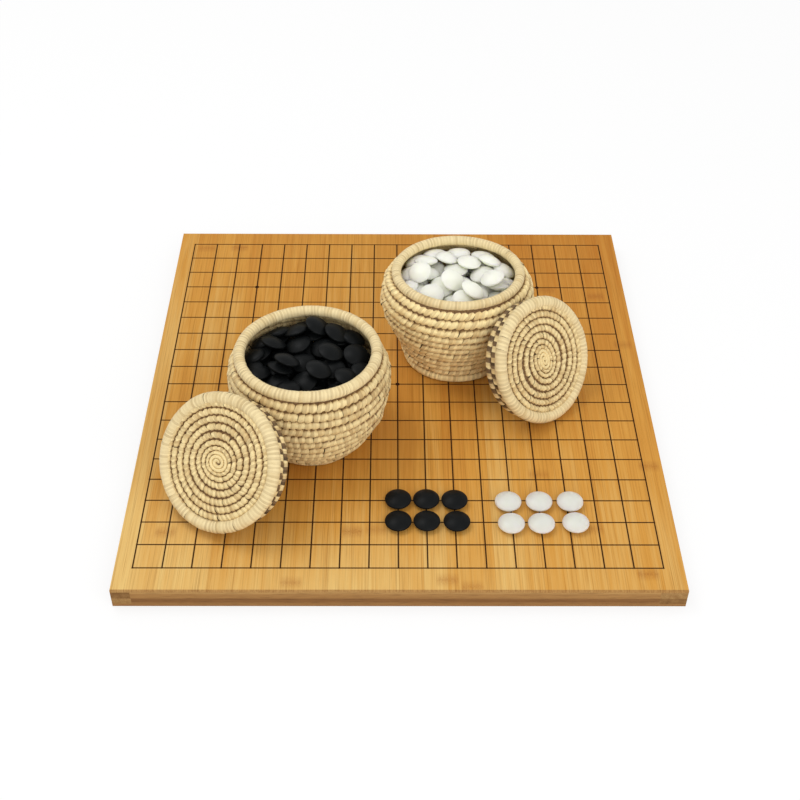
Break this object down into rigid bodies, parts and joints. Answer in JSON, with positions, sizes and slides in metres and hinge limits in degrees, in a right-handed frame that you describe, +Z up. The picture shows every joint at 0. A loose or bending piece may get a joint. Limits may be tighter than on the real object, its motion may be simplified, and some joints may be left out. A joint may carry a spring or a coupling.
{
  "type": "go board set",
  "caption": "Laminated bamboo go board with two lidded coiled-straw bowls of black and white biconvex stones.",
  "frame": {"origin": "centre of the board's underside", "axes": "+X to the right along the shorter side, +Y to the back along the longer side, +Z up"},
  "size_m": [0.4442, 0.4738, 0.1186],
  "materials": {
    "bamboo_top": "satin, clear coat",
    "bamboo_ply": "satin",
    "bamboo_upper": "satin",
    "bamboo_lower": "satin",
    "bamboo_core": "satin",
    "burnt_line": "matte",
    "straw": "matte, fibrous",
    "dyed_straw": "matte, fibrous",
    "black_stone": "matte black glass",
    "white_stone": "polished milky glass"
  },
  "bodies": {
    "board": {"board_back_batten_lower": "bamboo_lower", "board_back_batten_upper": "bamboo_upper", "board_bottom_ply": "bamboo_ply", "board_core": "bamboo_core", "board_front_batten_lower": "bamboo_lower", "board_front_batten_upper": "bamboo_upper", "board_grid_lines": "burnt_line", "board_left_batten_lower": "bamboo_lower", "board_left_batten_upper": "bamboo_upper", "board_right_batten_lower": "bamboo_lower", "board_right_batten_upper": "bamboo_upper", "board_top_ply": "bamboo_top"},
    "black_bowl": {"black_bowl_base": "straw", "black_bowl_foot_coil": "straw", "black_bowl_rim_coil": "straw", "black_bowl_wall": "straw", "black_stones_bed": "black_stone"},
    "black_heap": {"black_stones_heap": "black_stone"},
    "black_lid": {"black_lid_collar": "straw", "black_lid_dark_wraps": "dyed_straw", "black_lid_natural_wraps": "straw", "black_lid_rim_coil": "straw", "black_lid_top": "straw"},
    "black_stone_1": {"black_stone_1": "black_stone"},
    "black_stone_2": {"black_stone_2": "black_stone"},
    "black_stone_3": {"black_stone_3": "black_stone"},
    "black_stone_4": {"black_stone_4": "black_stone"},
    "black_stone_5": {"black_stone_5": "black_stone"},
    "black_stone_6": {"black_stone_6": "black_stone"},
    "white_bowl": {"white_bowl_base": "straw", "white_bowl_foot_coil": "straw", "white_bowl_rim_coil": "straw", "white_bowl_wall": "straw", "white_stones_bed": "white_stone"},
    "white_heap": {"white_stones_heap": "white_stone"},
    "white_lid": {"white_lid_collar": "straw", "white_lid_dark_wraps": "dyed_straw", "white_lid_natural_wraps": "straw", "white_lid_rim_coil": "straw", "white_lid_top": "straw"},
    "white_stone_1": {"white_stone_1": "white_stone"},
    "white_stone_2": {"white_stone_2": "white_stone"},
    "white_stone_3": {"white_stone_3": "white_stone"},
    "white_stone_4": {"white_stone_4": "white_stone"},
    "white_stone_5": {"white_stone_5": "white_stone"},
    "white_stone_6": {"white_stone_6": "white_stone"}
  },
  "joints": [
    {"name": "black_bowl_lift", "type": "slide", "parent": "board", "child": "black_bowl", "axis": [0, 0, 1], "range_m": [0, 0.13]},
    {"name": "black_heap_lift", "type": "slide", "parent": "black_bowl", "child": "black_heap", "axis": [0, 0, 1], "range_m": [0, 0.07]},
    {"name": "black_lid_lift", "type": "slide", "parent": "black_bowl", "child": "black_lid", "axis": [0, 0, 1], "range_m": [0, 0.13]},
    {"name": "black_stone_1_lift", "type": "slide", "parent": "board", "child": "black_stone_1", "axis": [0, 0, 1], "range_m": [0, 0.11]},
    {"name": "black_stone_2_lift", "type": "slide", "parent": "board", "child": "black_stone_2", "axis": [0, 0, 1], "range_m": [0, 0.11]},
    {"name": "black_stone_3_lift", "type": "slide", "parent": "board", "child": "black_stone_3", "axis": [0, 0, 1], "range_m": [0, 0.11]},
    {"name": "black_stone_4_lift", "type": "slide", "parent": "board", "child": "black_stone_4", "axis": [0, 0, 1], "range_m": [0, 0.11]},
    {"name": "black_stone_5_lift", "type": "slide", "parent": "board", "child": "black_stone_5", "axis": [0, 0, 1], "range_m": [0, 0.11]},
    {"name": "black_stone_6_lift", "type": "slide", "parent": "board", "child": "black_stone_6", "axis": [0, 0, 1], "range_m": [0, 0.11]},
    {"name": "white_bowl_lift", "type": "slide", "parent": "board", "child": "white_bowl", "axis": [0, 0, 1], "range_m": [0, 0.13]},
    {"name": "white_heap_lift", "type": "slide", "parent": "white_bowl", "child": "white_heap", "axis": [0, 0, 1], "range_m": [0, 0.07]},
    {"name": "white_lid_lift", "type": "slide", "parent": "white_bowl", "child": "white_lid", "axis": [0, 0, 1], "range_m": [0, 0.13]},
    {"name": "white_stone_1_lift", "type": "slide", "parent": "board", "child": "white_stone_1", "axis": [0, 0, 1], "range_m": [0, 0.11]},
    {"name": "white_stone_2_lift", "type": "slide", "parent": "board", "child": "white_stone_2", "axis": [0, 0, 1], "range_m": [0, 0.11]},
    {"name": "white_stone_3_lift", "type": "slide", "parent": "board", "child": "white_stone_3", "axis": [0, 0, 1], "range_m": [0, 0.11]},
    {"name": "white_stone_4_lift", "type": "slide", "parent": "board", "child": "white_stone_4", "axis": [0, 0, 1], "range_m": [0, 0.11]},
    {"name": "white_stone_5_lift", "type": "slide", "parent": "board", "child": "white_stone_5", "axis": [0, 0, 1], "range_m": [0, 0.11]},
    {"name": "white_stone_6_lift", "type": "slide", "parent": "board", "child": "white_stone_6", "axis": [0, 0, 1], "range_m": [0, 0.11]}
  ]
}
